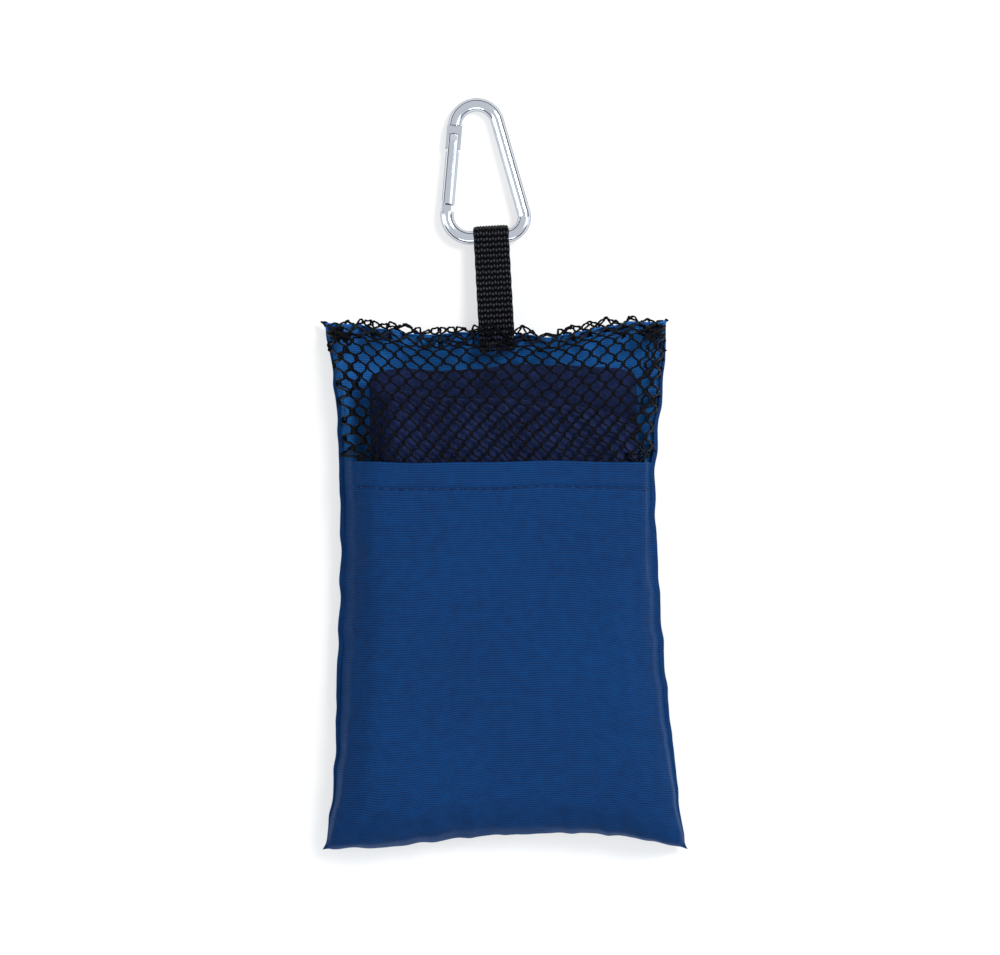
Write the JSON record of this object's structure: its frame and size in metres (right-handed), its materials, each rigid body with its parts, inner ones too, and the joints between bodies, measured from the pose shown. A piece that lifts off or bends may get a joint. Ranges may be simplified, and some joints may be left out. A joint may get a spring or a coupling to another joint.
{
  "type": "quick dry towel in a travel pouch",
  "caption": "Folded quick-dry towel in a flat zipperless pouch with a mesh upper front, a nylon lower front, a webbing loop and a small snap hook.",
  "frame": {"origin": "bottom centre of the box around the whole object, lying on its back", "axes": "+Y from the pouch's closed bottom towards the snap hook, +Z out of the front panel, +X to the right seen from the front"},
  "size_m": [0.1266, 0.2602, 0.0243],
  "materials": {
    "nylon_blue": "coated plain weave nylon, slightly glossy",
    "mesh_black": "knitted polyester mesh",
    "thread_navy": "overlock thread",
    "thread_blue": "polyester sewing thread",
    "webbing_black": "woven nylon webbing",
    "towel_navy": "suede microfibre",
    "hook_aluminium": "polished",
    "rivet_steel": "brushed"
  },
  "bodies": {
    "pouch": {"back_panel": "nylon_blue", "front_panel": "nylon_blue", "mesh_panel": "mesh_black", "left_seam": "thread_navy", "right_seam": "thread_navy", "top_seam": "thread_navy", "bottom_seam": "thread_navy", "hem_stitches": "thread_blue", "strap_stitches": "thread_blue", "strap_tail": "webbing_black"},
    "towel": {"towel": "towel_navy"},
    "strap": {"webbing_loop": "webbing_black"},
    "hook": {"carabiner_body": "hook_aluminium"},
    "gate": {"carabiner_gate": "hook_aluminium", "gate_rivet": "rivet_steel", "gate_spring": "rivet_steel"},
    "plunger": {"gate_plunger": "rivet_steel"}
  },
  "joints": [
    {"name": "towel_slide", "type": "slide", "parent": "pouch", "child": "towel", "axis": [0, 1, 0], "range_m": [-0.002, 0.001]},
    {"name": "strap_bend", "type": "hinge", "parent": "pouch", "child": "strap", "pos_m": [-0.00305, 0.0522, 0.008], "axis": [0.9984, 0.0558, 0], "range_deg": [-60, 60]},
    {"name": "hook_turn", "type": "hinge", "parent": "strap", "child": "hook", "pos_m": [-0.00474, 0.08245, 0.00375], "axis": [0.9984, 0.0558, 0], "range_deg": [-100, 100]},
    {"name": "gate_swing", "type": "hinge", "parent": "hook", "child": "gate", "pos_m": [-0.01775, 0.11656, 0.00264], "axis": [-0.0018, 0.0319, 0.9995], "range_deg": [0, 26], "stiffness_Nm_per_rad": 0.02, "springref_deg": -20.05},
    {"name": "plunger_stroke", "type": "slide", "parent": "gate", "child": "plunger", "axis": [-0.0872, -0.9957, 0.0316], "range_m": [0, 0.0012], "deforming": ["gate_spring"]}
  ],
  "couplings": [
    {"joint": "plunger_stroke", "follows": "gate_swing", "m_per_rad": 0.001873}
  ]
}
